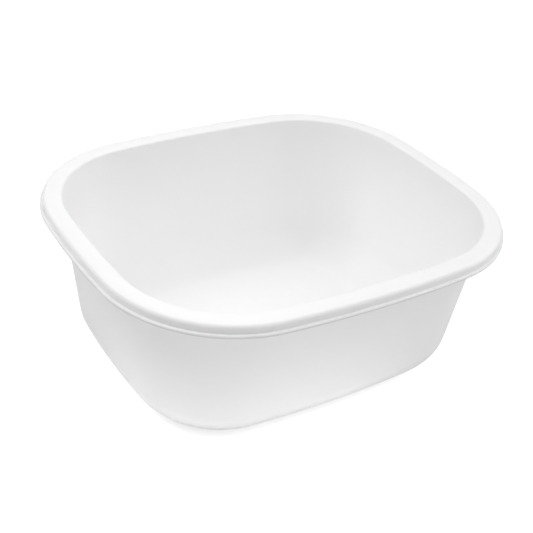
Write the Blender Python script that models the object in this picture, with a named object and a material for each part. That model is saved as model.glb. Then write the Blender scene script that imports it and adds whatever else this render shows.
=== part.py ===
"""Foot basin: one moulded plastic shell with a wide rolled rim.

Metres, +Z up. The basin stands on the plane z = 0 with its origin under the middle,
its long side along X and its short side along Y.
"""

import math

import bmesh
import bpy
from mathutils import Vector

# Plan of the rim, measured at the outer face of its turned-down skirt
HALF_LENGTH = 0.184
HALF_WIDTH = 0.157
END_ARC_RADIUS = 0.774
SIDE_ARC_RADIUS = 0.980
CORNER_RADIUS = 0.107
LEAST_CORNER_RADIUS = 0.004

# Height and sheet
HEIGHT = 0.142
SHEET = 0.002
WALL_LEAN = math.radians(7.6)

# Radii on the hollow side of each bend, to which the sheet is added for the other side
RIM_ROLL_UNDER = 0.0016
MOUTH_ROUND_UNDER = 0.0006
BASE_ROUND_INSIDE = 0.033

# Rim, from the flat top band down the skirt to the small lip on its lower edge
BAND_FLAT = 0.0105
SKIRT_STRAIGHT = 0.0031
LIP_HEIGHT = 0.0027
LIP_REACH = 0.0024
LIP_ROUND_SHARE = 0.37

# Low foot ring under the base
FOOT_HEIGHT = 0.0008
FOOT_WIDTH = 0.006
FOOT_SETBACK = 0.002
FOOT_SIDE_SLOPE = 0.0004

# Facets along each kind of curve
CORNER_STEPS = 12
SIDE_STEPS = 6
BASE_ROUND_STEPS = 6
ROLL_STEPS = 4
MOUTH_ROUND_STEPS = 3
LIP_ROUND_STEPS = 2

PLASTIC_COLOUR = (0.92, 0.92, 0.92, 1.0)
PLASTIC_ROUGHNESS = 0.32
SMOOTH_BELOW_ANGLE = math.radians(35)


def clear_scene():
    """Takes every object out of the open file."""
    for old in list(bpy.data.objects):
        bpy.data.objects.remove(old, do_unlink=True)


def corner_centre(end_centre, end_reach, side_centre, side_reach):
    """Centre of the corner arc that touches both long arcs, in the +X +Y quarter."""
    span = side_centre - end_centre
    along = (end_reach ** 2 - side_reach ** 2 + span.length_squared) / (2 * span.length)
    across = math.sqrt(end_reach ** 2 - along ** 2)
    forward = span.normalized()
    outward = Vector((-forward.y, forward.x))
    if outward.x + outward.y < 0:
        outward.negate()
    return end_centre + forward * along + outward * across


def plan_arcs(inset):
    """The eight arcs of the plan at one inset from the skirt: centre, radius, start and end angle."""
    end_radius = END_ARC_RADIUS - inset
    side_radius = SIDE_ARC_RADIUS - inset
    corner_radius = max(CORNER_RADIUS - inset, LEAST_CORNER_RADIUS)
    end_centre = Vector((HALF_LENGTH - END_ARC_RADIUS, 0))
    side_centre = Vector((0, HALF_WIDTH - SIDE_ARC_RADIUS))
    corner = corner_centre(
        end_centre, end_radius - corner_radius, side_centre, side_radius - corner_radius)
    end_turn = math.atan2(corner.y - end_centre.y, corner.x - end_centre.x)
    side_turn = math.atan2(corner.y - side_centre.y, corner.x - side_centre.x)

    arcs = []
    for side in (1, -1):
        turn = 0 if side == 1 else math.pi
        near_corner = side * corner
        far_corner = side * Vector((-corner.x, corner.y))
        arcs += [
            (side * end_centre, end_radius, turn - end_turn, turn + end_turn, SIDE_STEPS),
            (near_corner, corner_radius, turn + end_turn, turn + side_turn, CORNER_STEPS),
            (side * side_centre, side_radius, turn + side_turn, turn + math.pi - side_turn, SIDE_STEPS),
            (far_corner, corner_radius, turn + math.pi - side_turn, turn + math.pi - end_turn, CORNER_STEPS),
        ]
    return arcs


def plan_points(inset, height):
    """Points once round the basin at one inset and height, anticlockwise from above."""
    points = []
    for centre, radius, start, end, steps in plan_arcs(inset):
        for step in range(steps):
            angle = start + (end - start) * step / steps
            points.append((
                centre.x + radius * math.cos(angle),
                centre.y + radius * math.sin(angle),
                height))
    return points


def bend(centre, radius, start, end, steps):
    """Points on a bend of the section, with angles from straight down, turning to the skirt."""
    points = []
    for step in range(steps + 1):
        angle = start + (end - start) * step / steps
        points.append((centre[0] - radius * math.sin(angle), centre[1] - radius * math.cos(angle)))
    return points


def sheet_section():
    """Section of the shell as (inset, height), from the floor's top over the rim to its underside."""
    down, out, up = 0, math.pi / 2, math.pi
    wall_angle = out - WALL_LEAN

    roll_outside = RIM_ROLL_UNDER + SHEET
    roll_centre = (roll_outside, HEIGHT - roll_outside)

    mouth_outside = MOUTH_ROUND_UNDER + SHEET
    mouth_centre = (roll_outside + BAND_FLAT, HEIGHT - mouth_outside)

    base_outside = BASE_ROUND_INSIDE + SHEET
    base_centre_height = FOOT_HEIGHT + base_outside
    rise = mouth_centre[1] - base_centre_height
    reach_across = mouth_outside + BASE_ROUND_INSIDE
    wall_length = (rise + reach_across * math.sin(WALL_LEAN)) / math.cos(WALL_LEAN)
    base_inset = (mouth_centre[0] + reach_across * math.cos(WALL_LEAN)
                  + wall_length * math.sin(WALL_LEAN))
    base_centre = (base_inset, base_centre_height)

    lip_round = LIP_ROUND_SHARE * LIP_HEIGHT
    lip_bottom = roll_centre[1] - SKIRT_STRAIGHT - LIP_HEIGHT
    lip_top = lip_bottom + LIP_HEIGHT
    lip_upper_centre = (lip_round - LIP_REACH, lip_top - lip_round)
    lip_lower_centre = (lip_round - LIP_REACH, lip_bottom + lip_round)

    foot_outer = base_inset + FOOT_SETBACK
    foot_inner = foot_outer + 2 * FOOT_SIDE_SLOPE + FOOT_WIDTH

    section = bend(base_centre, BASE_ROUND_INSIDE, down, wall_angle, BASE_ROUND_STEPS)
    section += bend(mouth_centre, mouth_outside, -math.pi + wall_angle, -math.pi, MOUTH_ROUND_STEPS)
    section += bend(roll_centre, roll_outside, up, out, ROLL_STEPS)
    section += [(0, lip_top)]
    section += bend(lip_upper_centre, lip_round, up, out, LIP_ROUND_STEPS)
    section += bend(lip_lower_centre, lip_round, out, down, LIP_ROUND_STEPS)
    section += [(SHEET, lip_bottom)]
    section += bend(roll_centre, RIM_ROLL_UNDER, out, up, ROLL_STEPS)
    section += bend(mouth_centre, MOUTH_ROUND_UNDER, -math.pi, -math.pi + wall_angle, MOUTH_ROUND_STEPS)
    section += bend(base_centre, base_outside, wall_angle, down, BASE_ROUND_STEPS)
    section += [
        (foot_outer, FOOT_HEIGHT),
        (foot_outer + FOOT_SIDE_SLOPE, 0),
        (foot_inner - FOOT_SIDE_SLOPE, 0),
        (foot_inner, FOOT_HEIGHT),
    ]
    return section


def place_loop(loop, station, inset, height):
    """Moves one loop of vertices to its inset and height, each at its own station of the plan."""
    points = plan_points(inset, height)
    for vert in loop:
        vert.co = points[vert[station]]


def shell_mesh():
    """Extrudes the floor's edge along the whole section, and closes it under the base."""
    section = sheet_section()
    around = len(plan_points(*section[0]))
    bm = bmesh.new()
    station = bm.verts.layers.int.new("station")
    floor = bmesh.ops.create_circle(bm, cap_ends=True, segments=around, radius=HALF_WIDTH)
    for index, vert in enumerate(floor["verts"]):
        vert[station] = index
    place_loop(floor["verts"], station, *section[0])

    edges = list(bm.edges)
    for inset, height in section[1:]:
        grown = bmesh.ops.extrude_edge_only(bm, edges=edges)["geom"]
        loop = {item for item in grown if isinstance(item, bmesh.types.BMVert)}
        edges = [item for item in grown if isinstance(item, bmesh.types.BMEdge)
                 and item.verts[0] in loop and item.verts[1] in loop]
        place_loop(loop, station, inset, height)
    bmesh.ops.contextual_create(bm, geom=edges)
    bmesh.ops.recalc_face_normals(bm, faces=bm.faces)

    mesh = bpy.data.meshes.new("basin_shell")
    bm.to_mesh(mesh)
    bm.free()
    mesh.shade_smooth()
    mesh.set_sharp_from_angle(angle=SMOOTH_BELOW_ANGLE)
    return mesh


def white_plastic():
    """Plain white moulded plastic with a soft gloss."""
    material = bpy.data.materials.new("white_plastic")
    material.use_nodes = True
    shader = material.node_tree.nodes["Principled BSDF"]
    shader.inputs["Base Color"].default_value = PLASTIC_COLOUR
    shader.inputs["Roughness"].default_value = PLASTIC_ROUGHNESS
    shader.inputs["Metallic"].default_value = 0
    return material


def build_basin_shell():
    """The whole basin: floor, drafted walls, rim, skirt, lip and foot ring in one moulding."""
    mesh = shell_mesh()
    mesh.materials.append(white_plastic())
    shell = bpy.data.objects.new("basin_shell", mesh)
    bpy.context.scene.collection.objects.link(shell)
    return shell


clear_scene()
build_basin_shell()
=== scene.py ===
import math

import bmesh
import bpy
from mathutils import Matrix, Vector


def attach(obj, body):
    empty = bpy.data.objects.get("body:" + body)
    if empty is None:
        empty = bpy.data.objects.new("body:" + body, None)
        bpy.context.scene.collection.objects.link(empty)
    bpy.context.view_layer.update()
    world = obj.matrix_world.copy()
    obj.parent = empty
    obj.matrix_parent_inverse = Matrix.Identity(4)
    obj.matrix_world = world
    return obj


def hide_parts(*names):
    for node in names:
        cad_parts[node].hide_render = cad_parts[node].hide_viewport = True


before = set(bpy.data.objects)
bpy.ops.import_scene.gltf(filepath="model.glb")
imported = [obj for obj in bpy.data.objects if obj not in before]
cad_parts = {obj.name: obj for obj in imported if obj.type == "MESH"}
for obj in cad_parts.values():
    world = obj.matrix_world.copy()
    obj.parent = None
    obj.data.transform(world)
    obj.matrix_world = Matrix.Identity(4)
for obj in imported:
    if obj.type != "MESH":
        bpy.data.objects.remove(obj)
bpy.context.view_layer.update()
collection = bpy.context.scene.collection

# The camera: a long lens a little over a metre away, held at about 33 degrees above the near
# corner and tilted by a few degrees, as the photograph was taken.
CAMERA_PLACE = Vector((-0.43851, -0.63569, 0.57011))
CAMERA_LOOKS_AT = Vector((0.06420, 0.09566, 0.00080))
CAMERA_TILT = math.radians(5.54)
SENSOR_WIDTH_MM = 36
PICTURE_WIDTH_PX = 533
FOCAL_LENGTH_PX = 1031.1

camera_data = bpy.data.cameras.new("camera")
camera_data.sensor_width = SENSOR_WIDTH_MM
camera_data.lens = SENSOR_WIDTH_MM * FOCAL_LENGTH_PX / PICTURE_WIDTH_PX
camera = bpy.data.objects.new("camera", camera_data)
collection.objects.link(camera)
camera.location = CAMERA_PLACE
facing = (CAMERA_LOOKS_AT - CAMERA_PLACE).to_track_quat("-Z", "Y").to_matrix()
camera.rotation_euler = (facing @ Matrix.Rotation(CAMERA_TILT, 3, "Z")).to_euler()
bpy.context.scene.camera = camera
bpy.context.scene.view_settings.view_transform = "Standard"

# The studio: a white sheet of paper under the basin in a softly lit room, with large soft boxes
# high on the left, on the right and in front. Round the near corner of the base the paper has a
# painted glow, an emission that lights the foot of the walls, and further off it looks plain white.
FLOOR_HALF_SIZE = 6.0
FLOOR_DROP = 0.0001
FLOOR_COLOUR = (0.90, 0.90, 0.90, 1)
WHITENING = (0.60, 1.0)
WHITENING_REACH = (0.35, 1.60)
# The painted glow on the paper: its strength, its centre and reach near the corner, and the band
# round the base where it shows.
PAINTED_GLOW = 0.66
PAINTED_GLOW_CENTRE = (-0.08, -0.12, 0)
PAINTED_GLOW_REACH = (0.06, 0.22)
TABLE_CORE = (0.077, 0.050, 1)
TABLE_SHADE = (0.062, 0.100)
TABLE_FADE = (0.120, 0.190)
ROOM_STRENGTH = 0.29
ROOM_COLOUR = (1, 1, 1, 1)

floor_mesh = bpy.data.meshes.new("paper_floor")
bm = bmesh.new()
bmesh.ops.create_grid(bm, x_segments=1, y_segments=1, size=FLOOR_HALF_SIZE)
bmesh.ops.translate(bm, verts=bm.verts, vec=(0, 0, -FLOOR_DROP))
bm.to_mesh(floor_mesh)
bm.free()
floor = bpy.data.objects.new("paper_floor", floor_mesh)
collection.objects.link(floor)

paper = bpy.data.materials.new("studio_paper")
paper.use_nodes = True
nodes, links = paper.node_tree.nodes, paper.node_tree.links
nodes.clear()
out = nodes.new("ShaderNodeOutputMaterial")
lit = nodes.new("ShaderNodeBsdfDiffuse")
lit.inputs["Color"].default_value = FLOOR_COLOUR
glow = nodes.new("ShaderNodeEmission")
seen = nodes.new("ShaderNodeLightPath")
place = nodes.new("ShaderNodeTexCoord")
both = nodes.new("ShaderNodeAddShader")


def vector_step(operation, first, second=None):
    """One step with vectors, the second of them a socket or a value."""
    node = nodes.new("ShaderNodeVectorMath")
    node.operation = operation
    links.new(first, node.inputs[0])
    if isinstance(second, bpy.types.NodeSocket):
        links.new(second, node.inputs[1])
    elif second:
        node.inputs[1].default_value = second
    return node.outputs["Value" if operation in ("LENGTH", "DISTANCE", "DOT_PRODUCT") else "Vector"]


def between(value, low, high, least, most, step="LINEAR"):
    """Maps a value from low and high to least and most, evenly or with a soft start and end."""
    node = nodes.new("ShaderNodeMapRange")
    node.interpolation_type = step
    links.new(value, node.inputs["Value"])
    ends = {"From Min": low, "From Max": high, "To Min": least, "To Max": most}
    for name, number in ends.items():
        node.inputs[name].default_value = number
    return node.outputs["Result"]


def times(first, second):
    """The product of two values."""
    node = nodes.new("ShaderNodeMath")
    node.operation = "MULTIPLY"
    links.new(first, node.inputs[0])
    links.new(second, node.inputs[1])
    return node.outputs[0]


spot = place.outputs["Object"]
folded = vector_step("ABSOLUTE", spot)
outside = vector_step("MAXIMUM", vector_step("SUBTRACT", folded, TABLE_CORE), (0, 0, 0))
from_core = vector_step("LENGTH", outside)
from_corner = vector_step("DISTANCE", spot, PAINTED_GLOW_CENTRE)
# Painted glow: the paper emits light to all rays in a band round the base near its near corner,
# which lights the foot of the basin's walls.
painted_glow_band = times(
    between(from_core, *TABLE_SHADE, 0, 1, "SMOOTHSTEP"),
    between(from_core, *TABLE_FADE, 1, 0, "SMOOTHSTEP"))
painted_glow = between(from_corner, *PAINTED_GLOW_REACH, PAINTED_GLOW, 0, "SMOOTHSTEP")
whitening = between(vector_step("LENGTH", spot), *WHITENING_REACH, *WHITENING, "SMOOTHSTEP")
strength = nodes.new("ShaderNodeMath")
strength.operation = "MULTIPLY_ADD"
links.new(seen.outputs["Is Camera Ray"], strength.inputs[0])
links.new(whitening, strength.inputs[1])
links.new(times(painted_glow_band, painted_glow), strength.inputs[2])
links.new(strength.outputs[0], glow.inputs["Strength"])
links.new(lit.outputs[0], both.inputs[0])
links.new(glow.outputs[0], both.inputs[1])
links.new(both.outputs[0], out.inputs["Surface"])
floor_mesh.materials.append(paper)

world = bpy.data.worlds.new("white_room")
bpy.context.scene.world = world
world.use_nodes = True
nodes, links = world.node_tree.nodes, world.node_tree.links
nodes.clear()
out = nodes.new("ShaderNodeOutputWorld")
room = nodes.new("ShaderNodeBackground")
room.inputs["Color"].default_value = ROOM_COLOUR
seen = nodes.new("ShaderNodeLightPath")
strength = nodes.new("ShaderNodeMath")
strength.operation = "MAXIMUM"
strength.inputs[1].default_value = ROOM_STRENGTH
links.new(seen.outputs["Is Camera Ray"], strength.inputs[0])
links.new(strength.outputs[0], room.inputs["Strength"])
links.new(room.outputs[0], out.inputs["Surface"])


def soft_light(name, heading, elevation, distance, size, power, mirrored=True):
    """A square soft box aimed at the basin, with its heading and elevation in degrees, its
    distance and size in metres and its power in watts. One that isn't mirrored lights the plastic
    but leaves no bright image in its gloss."""
    lamp = bpy.data.lights.new(name, "AREA")
    lamp.shape = "SQUARE"
    lamp.size = size
    lamp.energy = power
    light = bpy.data.objects.new(name, lamp)
    collection.objects.link(light)
    turn, rise = math.radians(heading), math.radians(elevation)
    level = math.cos(rise)
    towards = Vector((level * math.cos(turn), level * math.sin(turn), math.sin(rise)))
    light.location = distance * towards
    light.rotation_euler = towards.to_track_quat("Z", "Y").to_euler()
    light.visible_glossy = mirrored


soft_light("left_top_light", 145, 60, 1.5, 1.0, 10.4, mirrored=False)
soft_light("right_top_light", 325, 60, 1.8, 1.1, 5.4, mirrored=False)
soft_light("front_top_light", 265, 62, 1.8, 1.1, 2.6, mirrored=False)
soft_light("right_light", 352, 33, 3.0, 1.8, 16.5)
soft_light("right_front_light", 290, 40, 1.8, 1.1, 1.8)
soft_light("back_light", 60, 44, 1.8, 0.55, 1.1)

# The basin: one shot of white polypropylene about 2 mm thick, with bowed sides, walls that lean
# outwards so that it leaves the mould, and a rim rolled over into a short skirt. The lip's upright
# face on the skirt's lower edge is painted greyer, as a painted shadow line under the rim.
HALF_LENGTH = 0.184
HALF_WIDTH = 0.157
END_ARC_RADIUS = 0.774
SIDE_ARC_RADIUS = 0.980
CORNER_RADIUS = 0.107
HEIGHT = 0.142
SHEET = 0.002
WALL_LEAN = math.radians(7.6)

ROLL_RADIUS = 0.0029
BAND_FLAT = 0.0115
MOUTH_ROUND = 0.0021
BASE_ROUND = 0.033
SKIRT_STRAIGHT = 0.0038
LIP_HEIGHT = 0.0027
LIP_REACH = 0.0024
LIP_ROOT_ROUND = 0.0005
LIP_UPPER_ROUND = 0.0008
LIP_LOWER_ROUND = 0.0002

FOOT_HEIGHT = 0.0008
FOOT_WIDTH = 0.006
FOOT_SETBACK = 0.002
FOOT_SLOPE = 0.0004
GATE_DIMPLE_RADIUS = 0.007
GATE_DIMPLE_DEPTH = 0.0005
GATE_STUB_RADIUS = 0.0016
GATE_STUB_HEIGHT = 0.0003
GATE_STUB_TAPER = 0.000075

SIDE_STEPS = 28
CORNER_STEPS = 32
ROLL_STEPS = 10
MOUTH_STEPS = 8
BASE_STEPS = 22
WALL_STEPS = 10
LIP_STEPS = 5
FLOOR_RINGS = 6
FLOOR_RING_WIDTH = 0.006

SAME_POINT = 0.00001
SAME_HEIGHT = 0.00002
UPRIGHT_NORMAL_Z = 0.1
LEVEL_NORMAL_Z = 0.99
SMOOTH_BELOW_ANGLE = math.radians(40)


def corner_centre():
    """Centre of the corner arc that touches both long arcs, in the +X +Y quarter."""
    end_centre = Vector((HALF_LENGTH - END_ARC_RADIUS, 0))
    side_centre = Vector((0, HALF_WIDTH - SIDE_ARC_RADIUS))
    end_reach = END_ARC_RADIUS - CORNER_RADIUS
    side_reach = SIDE_ARC_RADIUS - CORNER_RADIUS
    span = side_centre - end_centre
    along = (end_reach ** 2 - side_reach ** 2 + span.length_squared) / (2 * span.length)
    across = math.sqrt(end_reach ** 2 - along ** 2)
    forward = span.normalized()
    outward = Vector((-forward.y, forward.x))
    if outward.x + outward.y < 0:
        outward.negate()
    return end_centre, side_centre, end_centre + forward * along + outward * across


def spin_plan(bm, height):
    """Spins one point round the eight arcs of the plan, and fills the loop with one face."""
    end_centre, side_centre, corner = corner_centre()
    end_turn = math.atan2(corner.y - end_centre.y, corner.x - end_centre.x)
    side_turn = math.atan2(corner.y - side_centre.y, corner.x - side_centre.x)
    corner_turn = side_turn - end_turn
    start = end_centre + END_ARC_RADIUS * Vector((math.cos(end_turn), -math.sin(end_turn)))
    last = [bm.verts.new((start.x, start.y, height))]
    other_corner = Vector((-corner.x, corner.y))
    for side in (1, -1):
        for centre, turn, steps in (
                (side * end_centre, 2 * end_turn, SIDE_STEPS),
                (side * corner, corner_turn, CORNER_STEPS),
                (side * side_centre, math.pi - 2 * side_turn, SIDE_STEPS),
                (side * other_corner, corner_turn, CORNER_STEPS)):
            spun = bmesh.ops.spin(
                bm, geom=last, cent=(centre.x, centre.y, height), axis=(0, 0, 1),
                angle=turn, steps=steps, use_merge=False, use_duplicate=False)
            last = [item for item in spun["geom_last"] if isinstance(item, bmesh.types.BMVert)]
    bmesh.ops.remove_doubles(bm, verts=bm.verts, dist=SAME_POINT)
    return bmesh.ops.contextual_create(bm, geom=list(bm.edges))["faces"][0]


def bend(centre, radius, start, end, steps):
    """Points on a bend of the section as (inset, height), with angles that start straight down
    and turn outwards."""
    angles = [start + (end - start) * step / steps for step in range(steps + 1)]
    return [(centre[0] - radius * math.sin(a), centre[1] - radius * math.cos(a)) for a in angles]


def skin_section():
    """Upper side of the skin as (inset, height), from the skirt's lower edge to the floor."""
    down, out, up = 0, math.pi / 2, math.pi
    wall_angle = out - WALL_LEAN
    roll_centre = (ROLL_RADIUS, HEIGHT - ROLL_RADIUS)
    mouth_centre = (ROLL_RADIUS + BAND_FLAT, HEIGHT - MOUTH_ROUND)
    base_height = FOOT_HEIGHT + SHEET + BASE_ROUND
    rise = mouth_centre[1] - base_height
    reach = MOUTH_ROUND + BASE_ROUND
    wall_length = (rise + reach * math.sin(WALL_LEAN)) / math.cos(WALL_LEAN)
    base_inset = mouth_centre[0] + reach * math.cos(WALL_LEAN) + wall_length * math.sin(WALL_LEAN)
    skirt_bottom = roll_centre[1] - SKIRT_STRAIGHT - LIP_HEIGHT

    roll = bend(roll_centre, ROLL_RADIUS, out, up, ROLL_STEPS)
    mouth = bend(mouth_centre, MOUTH_ROUND, -up, -up + wall_angle, MOUTH_STEPS)
    base = bend((base_inset, base_height), BASE_ROUND, wall_angle, down, BASE_STEPS)
    top, bottom = Vector(mouth[-1]), Vector(base[0])
    wall = [tuple(top.lerp(bottom, step / WALL_STEPS)) for step in range(1, WALL_STEPS)]
    return [(0, skirt_bottom), (0, skirt_bottom + LIP_HEIGHT)] + roll + mouth + wall + base


def inset_face(bm, face, inset, rise):
    """Insets one face and lifts or sinks it, which leaves a ring of faces round it."""
    bmesh.ops.inset_individual(bm, faces=[face], thickness=inset, depth=rise, use_even_offset=True)


def draw_skin():
    """Draws the skin up from the skirt's edge, over the rim and down into the bowl."""
    bm = bmesh.new()
    section = skin_section()
    face = spin_plan(bm, section[0][1])
    if face.normal.z < 0:
        face.normal_flip()
    for (inset, height), (next_inset, next_height) in zip(section, section[1:]):
        inset_face(bm, face, next_inset - inset, next_height - height)
    return bm


def faces_of_region(bm, low, high, outward):
    """Upright faces of the skirt between two heights, on its outer or inner side."""
    found = []
    for face in bm.faces:
        middle = face.calc_center_median()
        sideways = face.normal.xy.dot(middle.xy) > 0
        if abs(face.normal.z) < UPRIGHT_NORMAL_Z and low < middle.z < high and sideways == outward:
            found.append(face)
    return found


def open_edges(faces, height):
    """Edges round a band of faces at one height."""
    band = set(faces)
    edges = {edge for face in faces for edge in face.edges}
    return [
        edge for edge in edges
        if sum(face in band for face in edge.link_faces) == 1
        and all(abs(vert.co.z - height) < SAME_HEIGHT for vert in edge.verts)]


def round_off(bm, edges, width, segments):
    """Bevels edges with a round section."""
    bmesh.ops.bevel(
        bm, geom=edges, offset=width, offset_type="OFFSET", segments=segments,
        profile=0.5, affect="EDGES", clamp_overlap=True, material=-1)


def draw_out_lip(bm, skirt_bottom):
    """Pushes the skirt's lowest band outwards as the lip, and rounds its edges and its root."""
    band = faces_of_region(bm, skirt_bottom, skirt_bottom + LIP_HEIGHT, outward=True)
    bmesh.ops.inset_region(
        bm, faces=band, thickness=0, depth=LIP_REACH, use_boundary=True, use_even_offset=True)
    upper = open_edges(band, skirt_bottom + LIP_HEIGHT)
    lower = open_edges(band, skirt_bottom)
    shelf = {face for edge in upper for face in edge.link_faces} - set(band)
    rim = {vert for edge in upper for vert in edge.verts}
    root = {edge for face in shelf for edge in face.edges if not rim.intersection(edge.verts)}
    round_off(bm, list(root), LIP_ROOT_ROUND, LIP_STEPS)
    round_off(bm, upper, LIP_UPPER_ROUND, LIP_STEPS)
    round_off(bm, lower, LIP_LOWER_ROUND, LIP_STEPS)


def largest_flat(bm, side):
    """The largest level face on the upper side, 1, or the underside, -1."""
    level = [face for face in bm.faces if side * face.normal.z > LEVEL_NORMAL_Z]
    return max(level, key=lambda face: face.calc_area())


def ring_floor(bm):
    """Lays rings of faces round the flat floor inside the bowl."""
    middle = largest_flat(bm, 1)
    for _ in range(FLOOR_RINGS):
        inset_face(bm, middle, FLOOR_RING_WIDTH, 0)


def raise_foot_ring(bm):
    """Draws the foot ring down from the flat underside, with slightly sloped sides."""
    base = largest_flat(bm, -1)
    inset_face(bm, base, FOOT_SETBACK, 0)
    inset_face(bm, base, FOOT_WIDTH + 2 * FOOT_SLOPE, 0)
    ring = list({face for edge in base.edges for face in edge.link_faces} - {base})
    bmesh.ops.inset_region(
        bm, faces=ring, thickness=FOOT_SLOPE, depth=FOOT_HEIGHT, use_boundary=True,
        use_even_offset=True)


def sink_gate(bm):
    """Sinks a round dimple in the middle of the underside, with the stub of the gate in it."""
    base = largest_flat(bm, -1)
    height = base.calc_center_median().z
    rim = list(base.edges)
    bmesh.ops.delete(bm, geom=[base], context="FACES_ONLY")
    turned = Matrix.Translation((0, 0, height)) @ Matrix.Rotation(math.pi, 4, "X")
    disc = bmesh.ops.create_circle(
        bm, cap_ends=True, segments=len(rim), radius=GATE_DIMPLE_RADIUS, matrix=turned)
    middle = disc["verts"][0].link_faces[0]
    bmesh.ops.bridge_loops(bm, edges=rim + list(middle.edges))
    inset_face(bm, middle, GATE_DIMPLE_DEPTH, -GATE_DIMPLE_DEPTH)
    inset_face(bm, middle, GATE_DIMPLE_RADIUS - GATE_DIMPLE_DEPTH - GATE_STUB_RADIUS, 0)
    inset_face(bm, middle, GATE_STUB_TAPER, GATE_STUB_HEIGHT)


bm = draw_skin()
bmesh.ops.solidify(bm, geom=list(bm.faces), thickness=SHEET)
bmesh.ops.recalc_face_normals(bm, faces=bm.faces)
draw_out_lip(bm, skin_section()[0][1])
ring_floor(bm)
raise_foot_ring(bm)
sink_gate(bm)
bmesh.ops.recalc_face_normals(bm, faces=bm.faces)

basin_mesh = bpy.data.meshes.new("basin")
bm.to_mesh(basin_mesh)
bm.free()
basin_mesh.shade_smooth()
basin_mesh.set_sharp_from_angle(angle=SMOOTH_BELOW_ANGLE)
basin = bpy.data.objects.new("basin", basin_mesh)
collection.objects.link(basin)

NOISE_RANGE = (0.2, 0.8)
CLOUD_SCALE = 16.0
CLOUD_DETAIL = 2
CLOUD_DARK = (0.962, 0.962, 0.962, 1)
CLOUD_LIGHT = (0.975, 0.975, 0.975, 1)
SHINE_SCALE = 35.0
SHINE_DETAIL = 2
SHINE_LEAST = 0.28
SHINE_MOST = 0.35
WAVE_SCALE = 24.0
WAVE_DETAIL = 1
WAVE_HEIGHT = 0.0005
GRAIN_SCALE = 1500.0
GRAIN_DETAIL = 2
GRAIN_HEIGHT = 0.000006
SCATTER_SHARE = 1.0
SCATTER_RADIUS = (1, 1, 1)
SCATTER_LENGTH = 0.0015
SCUFF_BELOW = 0.0006
SCUFF_SCALE = 420.0
SCUFF_DETAIL = 4
SCUFF_RANGE = (0.42, 0.60)
SCUFF_COLOUR = (0.74, 0.74, 0.73, 1)
SCUFF_ROUGHNESS = 0.55
# Painted shade on the lip's upright outer face: the heights where it fades in at the top and
# bottom, how far the face must turn outwards, and its grey.
LIP_SHADE_TOP = (0.1341, 0.1338)
LIP_SHADE_BOTTOM = (0.1320, 0.1324)
LIP_SHADE_OUTWARD = (0.05, 0.08)
LIP_SHADE_COLOUR = (0.76, 0.76, 0.76, 1)

plastic = bpy.data.materials.new("white_plastic")
plastic.use_nodes = True
basin_mesh.materials.append(plastic)
nodes, links = plastic.node_tree.nodes, plastic.node_tree.links
finish = nodes["Principled BSDF"]
finish.inputs["Subsurface Weight"].default_value = SCATTER_SHARE
finish.inputs["Subsurface Radius"].default_value = SCATTER_RADIUS
finish.inputs["Subsurface Scale"].default_value = SCATTER_LENGTH
place = nodes.new("ShaderNodeTexCoord")


def noise(scale, detail):
    """A noise in the basin's own coordinates, with its scale per metre."""
    node = nodes.new("ShaderNodeTexNoise")
    node.inputs["Scale"].default_value = scale
    node.inputs["Detail"].default_value = detail
    links.new(place.outputs["Object"], node.inputs["Vector"])
    return node.outputs["Fac"]


def blend(kind, share, first, second):
    """Mixes two sockets or values of one kind by a share."""
    node = nodes.new("ShaderNodeMix")
    node.data_type = kind
    live = [socket for socket in node.inputs if socket.enabled]
    links.new(share, next(socket for socket in live if socket.name == "Factor"))
    pair = [socket for socket in live if socket.name in "AB"]
    for socket, value in zip(pair, (first, second)):
        if isinstance(value, bpy.types.NodeSocket):
            links.new(value, socket)
        else:
            socket.default_value = value
    return next(socket for socket in node.outputs if socket.enabled)


def bump(height, distance, normal=None):
    """Raises the surface by a height noise, over an earlier bump if there is one."""
    node = nodes.new("ShaderNodeBump")
    node.inputs["Distance"].default_value = distance
    links.new(height, node.inputs["Height"])
    if normal:
        links.new(normal, node.inputs["Normal"])
    return node.outputs["Normal"]


split = nodes.new("ShaderNodeSeparateXYZ")
links.new(place.outputs["Object"], split.inputs[0])
height = split.outputs["Z"]
patches = between(noise(SCUFF_SCALE, SCUFF_DETAIL), *SCUFF_RANGE, 0, 1)
scuff = times(between(height, SCUFF_BELOW, 0, 0, 1), patches)

# Painted shade: the thin band of the lip's upright outer face is made grey as a shadow line under
# the rim.
facing_out = vector_step("DOT_PRODUCT", place.outputs["Normal"], place.outputs["Object"])
lip_face_band = times(between(height, *LIP_SHADE_TOP, 0, 1), between(height, *LIP_SHADE_BOTTOM, 0, 1))
painted_lip_shade = times(lip_face_band, between(facing_out, *LIP_SHADE_OUTWARD, 0, 1))

cloud = between(noise(CLOUD_SCALE, CLOUD_DETAIL), *NOISE_RANGE, 0, 1)
colour = blend("RGBA", scuff, blend("RGBA", cloud, CLOUD_DARK, CLOUD_LIGHT), SCUFF_COLOUR)
shine = between(noise(SHINE_SCALE, SHINE_DETAIL), *NOISE_RANGE, SHINE_LEAST, SHINE_MOST)
links.new(blend("RGBA", painted_lip_shade, colour, LIP_SHADE_COLOUR), finish.inputs["Base Color"])
links.new(blend("FLOAT", scuff, shine, SCUFF_ROUGHNESS), finish.inputs["Roughness"])
wave = bump(noise(WAVE_SCALE, WAVE_DETAIL), WAVE_HEIGHT)
grain = bump(noise(GRAIN_SCALE, GRAIN_DETAIL), GRAIN_HEIGHT, wave)
links.new(grain, finish.inputs["Normal"])

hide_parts("basin_shell")
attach(basin, "root")
